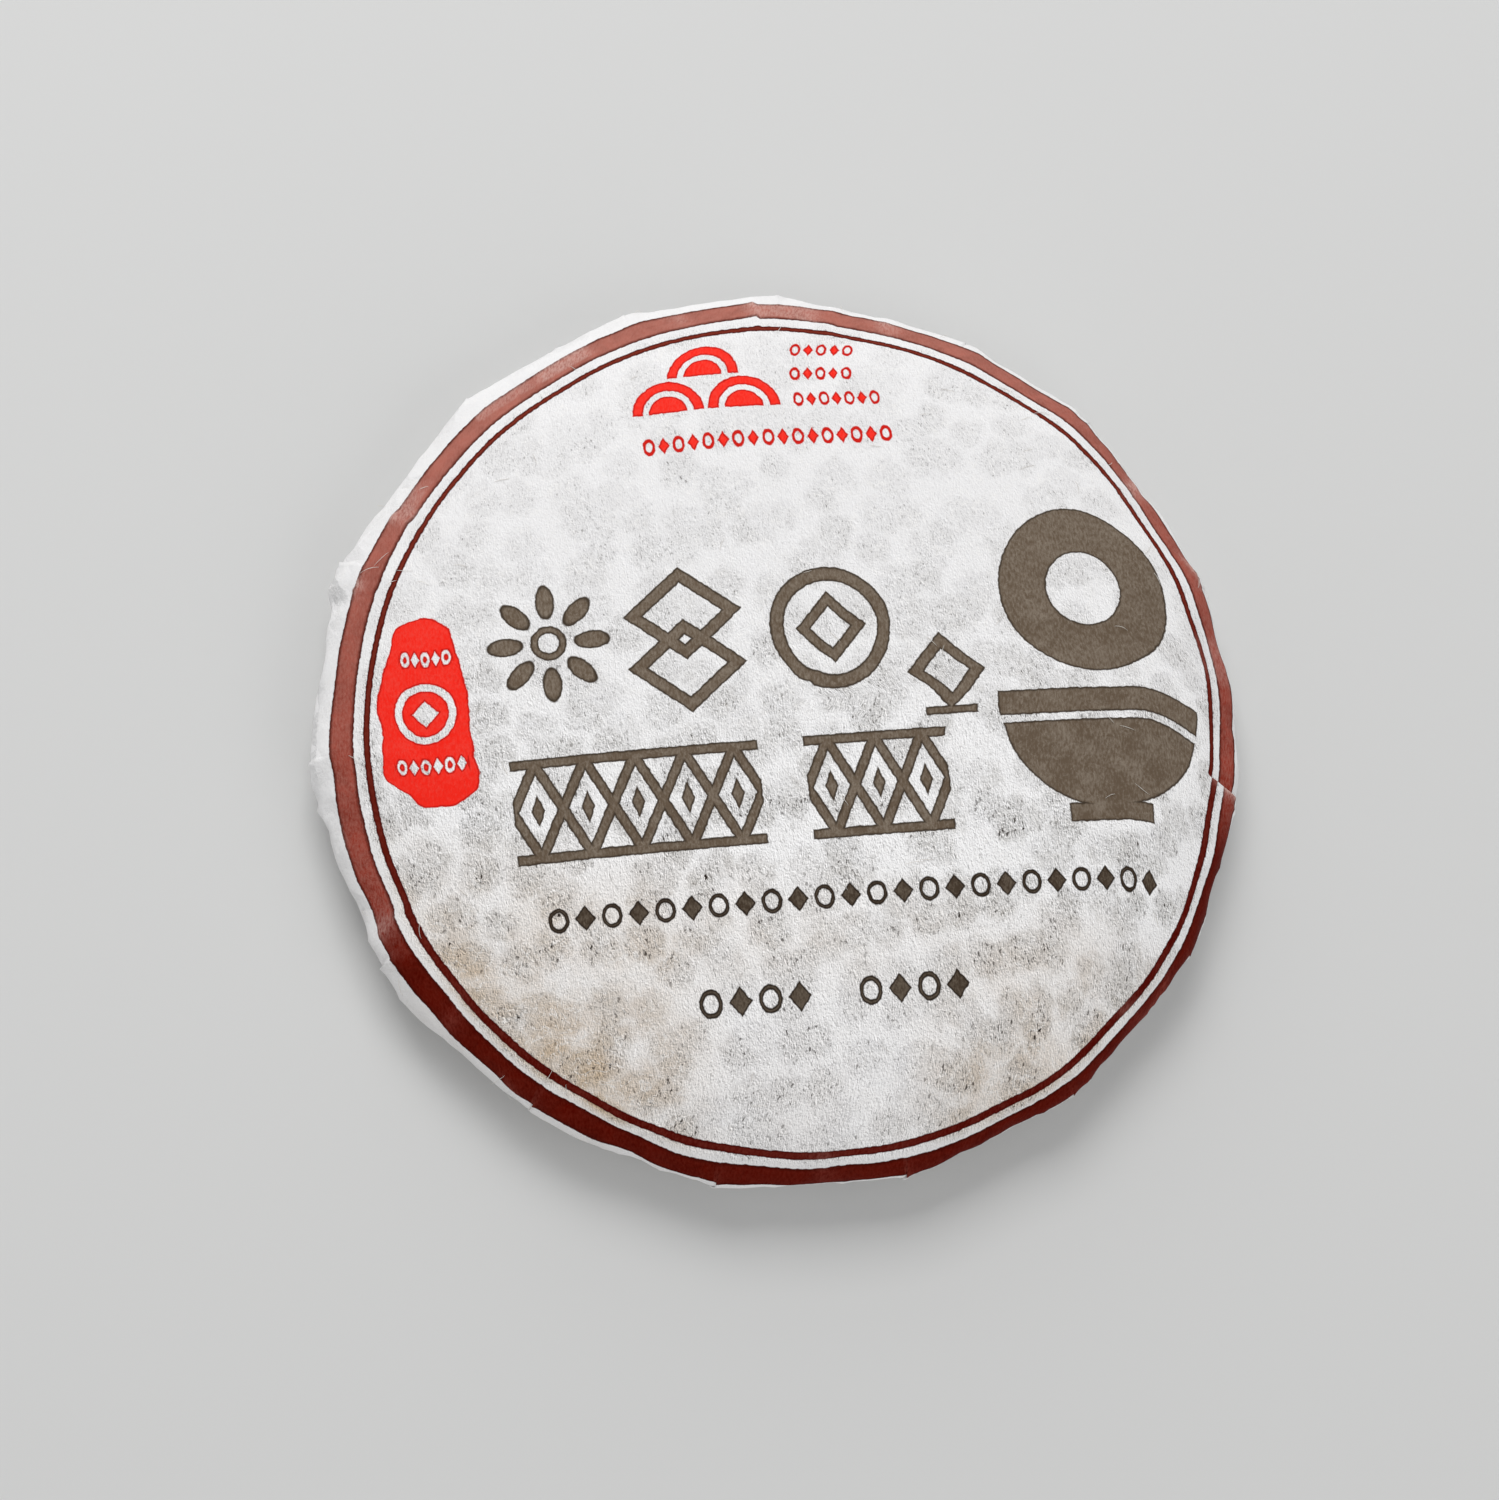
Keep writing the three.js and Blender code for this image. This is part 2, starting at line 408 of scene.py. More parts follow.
def hidden_columns(side, pleat):
    """A pleat's hidden columns, which lead under the next pleat and out again, and run the other
    way where the fold is laid the other way round."""
    tuck = np.where(pleat.next_forward, SLIT[:, 0], -SLIT[::-1, 0])
    layer = np.where(pleat.next_forward, SLIT[:, 1], SLIT[::-1, 1])
    hidden = np.where(pleat.next_forward, SLIT[:, 2], 1 - SLIT[::-1, 2])
    share = lerp(lerp(TAIL, 1, hidden), 1, pleat.next_opened)
    beyond = tuck * pleat.next_overlap / side.radius[..., None]
    short_share = share + np.minimum(beyond, 0) / pleat.width
    return SimpleNamespace(
        share=hidden,
        beyond=beyond,
        angle=pleat.line + share * pleat.width + beyond,
        level=-pleat.next_depth * (1 - layer),
        facet=np.where(
            beyond > 0,
            facet_factor(pleat.next_width, beyond / pleat.next_width, pleat.next_loss, 0),
            facet_factor(pleat.width, short_share, pleat.loss, pleat.next_loss),
        ),
    )


def joined(pleat, *values):
    """The visible and the hidden columns of every pleat, as one grid that goes round the cake."""
    rows, folds = pleat.line.shape[:2]
    pair = [np.broadcast_to(part, (rows, folds, part.shape[-1])) for part in values]
    return np.concatenate(pair, axis=-1).reshape(rows, -1)


def flat_sheet(side, pleat, seen, slit, angle, place):
    """Each point's place on the flat sheet, from the middle of the print. Its radius there is the
    length of paper from the middle of the face, along the column, less half of the shift at each
    fold. Its angle is the pleat's middle plus the pleat's real width divided by that length."""
    face_line = np.radians(FOLD_ANGLES + FOLD_LEANS)[:, None]
    face_width = (following(face_line[:, 0]) - face_line) % (2 * np.pi)
    narrowing = (side.radius / side.length)[..., None]
    shrink = lerp(1, narrowing, pleat.next_opened)
    next_shrink = lerp(1, narrowing, following(pleat.next_opened[..., 0]))
    seen_turn = face_line + face_width / 2 + (seen.share - 0.5) * face_width * shrink
    end_turn = face_line + face_width / 2 * (1 + shrink)
    next_turn = face_line + face_width + following(face_width[:, 0]) / 2 * (1 - next_shrink)
    tail_turn = lerp(face_line + TAIL * face_width, end_turn, pleat.next_opened)
    turn = joined(pleat, seen_turn, lerp(tail_turn, next_turn, slit.share))

    jog = FOLD_JOGS[:, None] * pleat.opened / 2
    next_jog = following(FOLD_JOGS) * pleat.next_opened / 2
    shift = joined(pleat, lerp(jog, -next_jog, seen.share), lerp(-next_jog, next_jog, slit.share))
    steps = np.linalg.norm(np.diff(place, axis=0, prepend=place[:1]), axis=-1)
    steps[0] = side.length[0]
    slack = RING_WANDER * waves(place, 60, 6, 14, 7) * smooth(side.length, 46, 53)
    for degrees, half, further in RING_SHIFTS:
        away = (np.degrees(angle) - degrees + 180) % 360 - 180
        slack = slack - further * np.exp(-(away / half) ** 2)
    for degrees, further, fade in RING_KINKS:
        after = (np.degrees(angle) - degrees) % 360
        slack = slack - further * np.exp(-after / fade) * smooth(side.length, 46, 50)
    out = np.cumsum(steps, axis=0) + slack - shift
    return np.stack([out * np.cos(turn), out * np.sin(turn)], axis=-1) - PRINT_CENTRE


def paper_wear(side, pleat, seen, slit, angle, ridges):
    """How worn the paper is, from 0 to 1: exp(-distance / width) at the proud side of each fold,
    more where a single crease is higher, and a set share in the rubbed patches of the rings."""
    radius = side.radius[..., None]
    to_own_fold = np.where(pleat.forward, seen.share, 1) * pleat.width * radius
    to_next_fold = np.where(pleat.next_forward, 1, 1 - seen.share) * pleat.width * radius
    at_own = pleat.opened * np.exp(-to_own_fold / WORN_WIDTH)
    at_next = pleat.next_opened * np.exp(-to_next_fold / WORN_WIDTH)
    at_slit = pleat.next_opened * (np.abs(slit.beyond * radius) < SLIT_WORN)
    wear = np.clip(joined(pleat, at_own + at_next, at_slit) + ridges / RIDGE_WORN, 0, 1)
    for start, end, rubbed in RUBBED_PATCHES:
        there = smooth(np.degrees(angle) % 360, start, start + 2) * (np.degrees(angle) % 360 < end)
        wear = np.maximum(wear, rubbed * there * (side.length > RUBBED_FROM))
    return wear


def wrapper_surface():
    """The whole paper as a grid of rows along the side profile and columns round the cake. A point
    lies at the profile's radius and height, moved along the profile's outward direction by how
    proud it stands, but never below the table. Beside it go its place on the flat sheet and its
    wear, and the profile's ends and the middle of the outline, which is moved to the origin."""
    side = side_profile()
    pleat = pleat_rows(side)
    seen = visible_columns(side, pleat)
    slit = hidden_columns(side, pleat)
    angle = joined(pleat, seen.angle, slit.angle)
    level = joined(pleat, seen.level, slit.level)
    factor = joined(pleat, seen.facet, slit.facet)

    closed = smooth(side.radius, 0, KNOT_RADIUS)
    plan = side.radius * lerp(1, factor, side.over * (1 - side.inward))
    place = np.stack([plan * np.cos(angle), plan * np.sin(angle), side.height + 0 * plan], axis=-1)
    middle = (place[..., :2].max((0, 1)) + place[..., :2].min((0, 1))) / 2
    uneven, ridges = relief(angle, side.length, place)
    proud = (PRESSED_FLAT * side.down ** 3 + level) * closed + uneven * closed
    plan = plan + side.out_side * proud
    points = np.stack([
        plan * np.cos(angle) - middle[0],
        plan * np.sin(angle) - middle[1],
        np.maximum(side.height + side.out_up * proud, -LAYER_GAP * level),
    ], axis=-1)
    flat = flat_sheet(side, pleat, seen, slit, angle, place)
    return side, points, flat, paper_wear(side, pleat, seen, slit, angle, ridges), middle


def closed_grid(rows, columns):
    """Faces of a grid that closes on itself round the cake, with a fan to a last point at each end."""
    row, column = np.meshgrid(np.arange(rows - 1), np.arange(columns), indexing="ij")
    after = (column + 1) % columns
    quads = np.stack([
        row * columns + column, (row + 1) * columns + column,
        (row + 1) * columns + after, row * columns + after,
    ], axis=-1).reshape(-1, 4)
    here = np.arange(columns)
    beside = (here + 1) % columns
    top, bottom = rows * columns, rows * columns + 1
    last = (rows - 1) * columns
    top_fan = np.stack([here, beside, np.full(columns, top)], axis=-1)
    bottom_fan = np.stack([last + beside, last + here, np.full(columns, bottom)], axis=-1)
    return quads.tolist() + top_fan.tolist() + bottom_fan.tolist()


def make_wrapper(material):
    """The folded wrapper with a map of the flat sheet, in millimetres from the print's middle."""
    side, points, flat, wear, middle = wrapper_surface()
    rows, columns = points.shape[:2]
    ends = [(-middle[0], -middle[1], height) for height in side.ends]
    every_point = np.concatenate([points.reshape(-1, 3), ends])
    reach = side.length[-1, 0] + side.length[0, 0]
    every_flat = np.concatenate([flat.reshape(-1, 2), [-PRINT_CENTRE, -PRINT_CENTRE + (0, reach)]])
    piece = mesh_object("paper_wrapper", every_point, closed_grid(rows, columns), material)
    corner = np.empty(len(piece.data.loops), np.int32)
    piece.data.loops.foreach_get("vertex_index", corner)
    sheet = piece.data.uv_layers.new(name="flat_sheet_mm")
    sheet.data.foreach_set("uv", every_flat[corner].ravel())
    worn = piece.data.attributes.new("worn", "FLOAT", "POINT")
    worn.data.foreach_set("value", np.concatenate([wear.ravel(), [0, 0]]))
    return piece, points, middle


def linear(code):
    """A colour written as sRGB hex, as the linear values that the shaders take."""
    parts = [int(code[i:i + 2], 16) / 255 for i in (1, 3, 5)]
    return tuple(c / 12.92 if c <= 0.04045 else ((c + 0.055) / 1.055) ** 2.4 for c in parts) + (1,)


# Settings that several nodes share.
COLOURS = {"data_type": "RGBA"}
FLAT = {"voronoi_dimensions": "2D"}


def add(kind, sockets=(), out=None, tree=None, **settings):
    """Adds a node, makes its settings, then links or sets its sockets, and gives one output, which
    is the first in use if none is named. The kind may have an operation beside it. The sockets are
    those in use in order, or a dictionary by their names. A hex colour is made linear. The node
    goes into the same tree as the sockets that it is linked to."""
    kind, _, operation = kind.partition(" ")
    values = sockets.values() if isinstance(sockets, dict) else sockets
    linked = [value for value in values if isinstance(value, bpy.types.NodeSocket)]
    tree = tree or linked[0].id_data
    node = tree.nodes.new("ShaderNode" + kind)
    if operation:
        node.operation = operation
    for name, value in settings.items():
        setattr(node, name, value)
    if isinstance(sockets, dict):
        ends = [node.inputs[name] for name in sockets]
    else:
        ends = [socket for socket in node.inputs if socket.enabled]
    for socket, value in zip(ends, values):
        if isinstance(value, bpy.types.NodeSocket):
            tree.links.new(value, socket)
        else:
            socket.default_value = linear(value) if isinstance(value, str) else value
    return node.outputs[out] if out else next((end for end in node.outputs if end.enabled), None)


def empty_material(name):
    """A material without nodes, and its node tree."""
    material = bpy.data.materials.new(name)
    material.use_nodes = True
    material.node_tree.nodes.clear()
    return material, material.node_tree


def sideways_noise(point, scale, **settings):
    """A small offset that changes from place to place: the three numbers of a noise, less a half."""
    noise = add("TexNoise", {"Vector": point, "Scale": scale, **settings}, out="Color")
    return add("VectorMath SUBTRACT", (noise, (0.5, 0.5, 0.5)))


def from_middle(point, scale, **settings):
    """How far a noise is from its middle value, which it crosses along fine winding lines."""
    noise = add("TexNoise", {"Vector": point, "Scale": scale, **settings})
    offset = add("Math SUBTRACT", (noise, 0.5))
    return add("Math ABSOLUTE", (offset,))


def shape(point, kind, centre, half, line=None):
    """Distance in millimetres to a lozenge, oval or box, below 0 inside it. The point is taken from
    the centre and made positive. A box then has the larger of its two numbers less the half sizes.
    For the others it is divided by the half size, and the sum of its two numbers for a lozenge, or
    their length for an oval, is 1 on the outline. With a line width, the distance is to a line of
    that width along the outline."""
    offset = add("VectorMath SUBTRACT", (point, (*centre, 0)))
    folded = add("VectorMath ABSOLUTE", (offset,))
    if kind == "box":
        beyond = add("VectorMath SUBTRACT", (folded, (*half, 0)))
        parts = add("SeparateXYZ", (beyond,)).node.outputs
        return add("Math MAXIMUM", (parts[0], parts[1]))
    scaled = add("VectorMath MULTIPLY", (folded, (1 / half[0], 1 / half[1], 0)))
    if kind == "lozenge":
        reach = add("VectorMath DOT_PRODUCT", (scaled, (1, 1, 0)))
        scale = half[0] * half[1] / math.hypot(*half)
    else:
        reach = add("VectorMath LENGTH", (scaled,))
        scale = min(half)
    distance = add("Math MULTIPLY_ADD", (reach, scale, -scale))
    if line:
        distance = add("Math ABSOLUTE", (distance,))
        distance = add("Math SUBTRACT", (distance, line / 2))
    return distance


def many_sided(point, corners, softness):
    """Distance to a shape with straight sides that bulges everywhere, its corners given clockwise.
    The distance to each side's line is the offset from its start, times its outward direction, and
    the largest of them counts, with the change from one side to the next smoothed."""
    distance = -100
    for start, end in zip(corners, corners[1:] + corners[:1]):
        run = math.dist(start, end)
        outward = ((start[1] - end[1]) / run, (end[0] - start[0]) / run, 0)
        offset = add("VectorMath SUBTRACT", (point, (*start, 0)))
        side = add("VectorMath DOT_PRODUCT", (offset, outward))
        distance = add("Math SMOOTH_MAX", (distance, side, softness))
    return distance


def union(*distances):
    """The smallest of several distances, which covers all their shapes."""
    result = distances[0]
    for distance in distances[1:]:
        result = add("Math MINIMUM", (result, distance))
    return result


def clip(distance, other):
    """The larger of two distances, which keeps what lies in both shapes."""
    return add("Math MAXIMUM", (distance, other))


def cut(distance, other):
    """The first shape without the second: the larger of one distance and minus the other."""
    return clip(distance, add("Math MULTIPLY", (other, -1)))


def repeated(point, start, y, pitch):
    """The point as seen from the middle of its own place in a row of places along X, a pitch apart."""
    moved = add("VectorMath SUBTRACT", (point, (start + pitch / 2, y, 0)))
    return add("VectorMath WRAP", (moved, (pitch / 2, 500, 1), (-pitch / 2, -500, -1)))


def stretch(point, start, end, y, half_height):
    """Distance to the box that holds a row."""
    return shape(point, "box", ((start + end) / 2, y), ((end - start) / 2, half_height))


def bead_row(point, start, y, count, pitch, half_height):
    """A row of small rings and lozenges by turns, as a border print has."""
    end = start + count * pitch
    cell = repeated(point, start, y, 2 * pitch)
    hole = (0.32 * pitch, 0.78 * half_height)
    ring = shape(cell, "oval", (-pitch / 2, 0), hole, 0.3 * half_height)
    dot = shape(cell, "lozenge", (pitch / 2, 0), (0.4 * pitch, half_height))
    return clip(union(ring, dot), stretch(point, start, end, y, half_height))


def trellis(point, start, end, y, half_height, count):
    """A fence of tall lozenges between two rails, with a small solid lozenge in each."""
    pitch = (end - start) / count
    rail, line = 0.6, 1.2
    cell = repeated(point, start, y, pitch)
    fence = union(
        shape(cell, "lozenge", (0, 0), (pitch / 2, half_height - rail), line),
        shape(cell, "lozenge", (0, 0), (0.14 * pitch, 1.9)),
        shape(cell, "box", (0, half_height - rail), (pitch, rail)),
        shape(cell, "box", (0, rail - half_height), (pitch, rail)),
    )
    return clip(fence, stretch(point, start, end, y, half_height))


def rosette(point, centre, petals, reach):
    """Petals round a ring: the angle is wrapped into one petal's share, then one oval is drawn."""
    offset = add("VectorMath SUBTRACT", (point, (*centre, 0)))
    parts = add("SeparateXYZ", (offset,)).node.outputs
    angle = add("Math ARCTAN2", (parts[1], parts[0]))
    half = math.pi / petals
    angle = add("Math WRAP", (angle, half, -half))
    away = add("VectorMath LENGTH", (offset,))
    along = add("Math MULTIPLY", (away, add("Math COSINE", (angle,))))
    across = add("Math MULTIPLY", (away, add("Math SINE", (angle,))))
    turned = add("CombineXYZ", (along, across))
    petal = shape(turned, "oval", (0.7 * reach, 0), (0.3 * reach, 0.155 * reach))
    return union(petal, shape(point, "oval", centre, (1.6, 1.6), 0.9))


def border(point, radius, width):
    """A ring of the border round the edge of the face."""
    return shape(point, "oval", (0, 0), (radius, radius), width)


# The red print: the stamp's corners, its flower, its two rows of beads, and above it the centres of
# the scallops and four more rows. A row has its start, its height, its number of beads, their pitch
# and their half-height.
STAMP = (
    (-45.2, 14.6), (-41.6, 16.4), (-38.4, 14.6), (-37.0, 3), (-36.8, -4.4), (-39, -6.2),
    (-43.4, -6.4), (-47.2, -3.0), (-48, 6),
)
FLOWER = (-42.2, 4.6)
STAMP_ROWS = ((-44.7, 11.0, 5, 1.2, 0.85), (-46.0, -1.6, 6, 1.35, 0.85))
SCALLOPS = ((-11.2, 38.2), (-2.4, 38.2), (-6.8, 42.8))
RED_ROWS = (
    (3.2, 46.0, 5, 1.5, 0.95), (3.2, 42.4, 5, 1.5, 0.95), (3.2, 38.9, 7, 1.5, 0.95),
    (-14.8, 34.0, 17, 1.72, 1.1),
)


def red_print(point):
    """A tall stamp with a cut-out flower and beads, and above it scallops and rows of beads."""
    wobble = sideways_noise(point, 0.25, Detail=1)
    uneven = add("VectorMath MULTIPLY_ADD", (wobble, (1.4, 1.4, 0), point))
    flower = shape(point, "oval", FLOWER, (3.1, 3.1), 0.8)
    seed = shape(point, "lozenge", FLOWER, (1.5, 1.5))
    beads = [bead_row(point, *row) for row in STAMP_ROWS]
    stamp = cut(many_sided(uneven, STAMP, 0.9), union(flower, seed, *beads))

    scallops = []
    for x, y in SCALLOPS:
        outer = shape(point, "oval", (x, y), (4.2, 4.2))
        band = shape(point, "oval", (x, y), (2.6, 2.6), 0.7)
        upper_half = shape(point, "box", (x, y + 2.5), (6, 2.5))
        scallops.append(clip(cut(outer, band), upper_half))
    return union(stamp, *scallops, *(bead_row(point, *row) for row in RED_ROWS))


# The grey-brown print, each shape with its kind, its centre, its half sizes and the width of its
# line where it isn't filled: two linked lozenges, a ringed lozenge, a lozenge on a bar, the round
# cake with a hole and the bowl's foot. Then the trellises, with their start, end, height,
# half-height and number of lozenges.
GREY_SHAPES = (
    ("lozenge", (-12.4, 13.4), (5.6, 4.6), 1.5),
    ("lozenge", (-12.4, 7.2), (5.6, 4.6), 1.5),
    ("oval", (4.1, 10.4), (6.0, 6.4), 1.6),
    ("lozenge", (4.1, 10.4), (3.1, 3.4), 1.3),
    ("lozenge", (16.4, 4.4), (3.4, 3.6), 1.4),
    ("box", (16.4, -0.2), (3.0, 0.5)),
    ("oval", (34.2, 13.6), (7.3, 7.3), 5.7),
    ("box", (34.2, -13.0), (5.2, 1.1)),
)
TRELLISES = ((-33.4, -5.6, -8.1, 6.0, 5), (-0.5, 15.6, -8.1, 6.0, 3))


def grey_print(point):
    """Three ornaments in a row over two trellises, and a round cake above a bowl on the right."""
    flower = rosette(point, (-27.7, 11.2), 8, 7.0)
    fences = [trellis(point, *fence) for fence in TRELLISES]
    bowl = clip(
        shape(point, "oval", (34.2, 1.6), (12.6, 14.2)),
        shape(point, "box", (34.2, -6.6), (14, 8.2)),
    )
    bowl = cut(bowl, shape(point, "box", (34.2, -1.7), (14, 0.4)))
    return union(flower, bowl, *fences, *(shape(point, *part) for part in GREY_SHAPES))


# Rows of beads below the trellises.
DARK_ROWS = ((-31.0, -20.6, 24, 2.95, 1.45), (-15.4, -31.4, 4, 3.3, 1.7), (2.4, -31.4, 4, 3.3, 1.7))


def dark_print(point):
    """One long thin row of beads and two short ones under it."""
    return union(*(bead_row(point, *row) for row in DARK_ROWS))


def sheet_zones(sheet):
    """Where the sheet looks different, as shares from 0 to 1: behind, past the widest place; lower,
    down the print, where the paper is darker and its spots and grain are stronger; whiter, in the
    middle of its foot; clear of the tea, outside the rings; and touching it, inside them. Behind,
    lower and clear are middling all over.
    Gives how far out it is from the print's middle too."""
    place = add("SeparateXYZ", (sheet,)).node.outputs
    out = add("VectorMath LENGTH", (sheet,))
    behind = add("MapRange", (out, 57, 66, 0, 1))
    lower = add("MapRange", (place[1], 28, -12, 0.3, 1))
    lower = add("Mix", (behind, lower, 0.65))
    aside = add("Math ADD", (place[0], 2))
    aside = add("Math ABSOLUTE", (aside,))
    middle = add("MapRange", (aside, 25, 9, 0, 0.9))
    foot = add("MapRange", (place[1], -18, -32, 0, 1))
    whiter = add("Math MULTIPLY", (middle, foot))
    clear = add("MapRange", (out, 49.9, 51, 0, 0.9))
    clear = add("Mix", (behind, clear, 0.45))
    touching = add("Math SUBTRACT", (1, clear))
    return SimpleNamespace(
        out=out, behind=behind, lower=lower, whiter=whiter, clear=clear, touching=touching,
    )


def thin_spots(sheet, warp, zone):
    """Thin places that let the dark tea below show, as soft grey spots 3 to 4.5 mm across that
    nearly touch. A spot is the part of a cell near the cell's own point, pulled out of round by
    noise. Wisps of long fibre lie over the spots as white curls. Gives how far out in its spot a
    place lies, the spot, its shade in this part of the sheet, and the wisps."""
    bent = add("VectorMath MULTIPLY_ADD", (warp, (3.0, 4.0, 0), sheet))
    cells = add("TexVoronoi", {"Vector": bent, "Scale": 1 / SPOT_PITCH}, **FLAT).node.outputs
    chance = add("SeparateXYZ", (cells["Color"],)).node.outputs
    size = add("MapRange", (chance[0], 0, 1, 0.42, 0.6))
    reach = add("Math DIVIDE", (cells["Distance"], size))
    spot = add("MapRange", (reach, 1.14, 0.6, 0, 1), interpolation_type="SMOOTHSTEP")
    strength = add("MapRange", (chance[1], 0, 0.9, 0.25, 0.95))
    spot = add("Math MULTIPLY", (spot, strength))
    wisp = from_middle(sheet, 0.2, Detail=4, Roughness=0.6, Distortion=1.2)
    wisp = add("MapRange", (wisp, 0.04, 0.004, 0, 0.6), interpolation_type="SMOOTHSTEP")
    through = add("Math SUBTRACT", (1, wisp))
    spot = add("Math MULTIPLY", (spot, through))
    fewer = add("Math MULTIPLY_ADD", (zone.whiter, -0.45, 1))
    shade = spot
    for part in (zone.lower, fewer, zone.touching):
        shade = add("Math MULTIPLY", (shade, part))
    return reach, spot, shade, wisp


def bark_bits(stretched, warp, grain, spot, shade, zone):
    """Dark flecks of bark that lie along the sheet's length, where the grain is highest, and bigger
    bits about 0.25 by 0.6 mm, each near the own point of some of the cells. Both are coarser than
    real ones, so that they show. They are densest in the spots and on the lower part."""
    bark = add("MapRange", (grain, 0.65, 0.69, 0, 1))
    bits = add("VectorMath MULTIPLY_ADD", (warp, (6.0, 3.0, 0), stretched))
    bits = add("TexVoronoi", {"Vector": bits, "Scale": 0.5}, **FLAT).node.outputs
    size = add("MapRange", (add("SeparateXYZ", (bits["Color"],)), 0.6, 1, 0, 0.32))
    size = add("Math SUBTRACT", (size, bits["Distance"]))
    most = add("MapRange", (zone.lower, 0.3, 1, 0.3, 0.9))
    bits = add("MapRange", (size, 0, 0.1, 0, most))
    bark = add("Math MAXIMUM", (bark, bits))
    even = add("Math MULTIPLY", (zone.touching, 0.3))
    even = add("Math MULTIPLY", (zone.lower, even))
    even = add("Math MULTIPLY_ADD", (shade, 0.35, even))
    in_spots = add("Math MULTIPLY", (zone.touching, 0.5))
    share = add("Math MULTIPLY_ADD", (spot, in_spots, even))
    return add("Math MULTIPLY", (bark, share))


def dust_and_bounce_light(sheet, reach, zone):
    """Warm brown patches near the bottom of the print: partly tea dust that has rubbed through and
    partly painted warm bounce light.
    """
    dust_and_painted_bounce = add("TexNoise", {"Vector": sheet, "Scale": 0.13, "Detail": 4, "Roughness": 0.6})
    dust_and_painted_bounce = add("MapRange", (dust_and_painted_bounce, 0.36, 0.66, 0.26, 0.88))
    slanting = add("VectorMath DOT_PRODUCT", (sheet, (0.2, 1, 0)))
    for part in (
        add("MapRange", (reach, 1.5, 0.6, 0.7, 1.05)),
        add("MapRange", (slanting, -16, -42, 0, 1)),
        zone.touching,
        add("Math SUBTRACT", (1, zone.whiter)),
        add("MapRange", (zone.behind, 0, 1, 1, 0.3)),
    ):
        dust_and_painted_bounce = add("Math MULTIPLY", (dust_and_painted_bounce, part))
    return dust_and_painted_bounce


def crumpled_margin(sheet, warp, zone):
    """How high the paper stands outside the rings, where it is crumpled into flat facets about 5 mm
    across that meet in sharp creases: the distance from a cell's border, times a number of the
    cell's own."""
    eased = add("VectorMath MULTIPLY_ADD", (warp, (2.0, 2.0, 0), sheet))
    facet = {"Vector": eased, "Scale": 1 / FACET_PITCH}
    rise = add("TexVoronoi", facet, feature="DISTANCE_TO_EDGE", **FLAT)
    tilt = add("SeparateXYZ", (add("TexVoronoi", facet, out="Color", **FLAT),))
    tilt = add("MapRange", (tilt, 0, 1, -70, 40))
    for part in (
        tilt,
        add("MapRange", (zone.out, 53, 56, 0, 1)),
        add("MapRange", (zone.behind, 0, 1, 1, 0.35)),
    ):
        rise = add("Math MULTIPLY", (rise, part))
    return rise


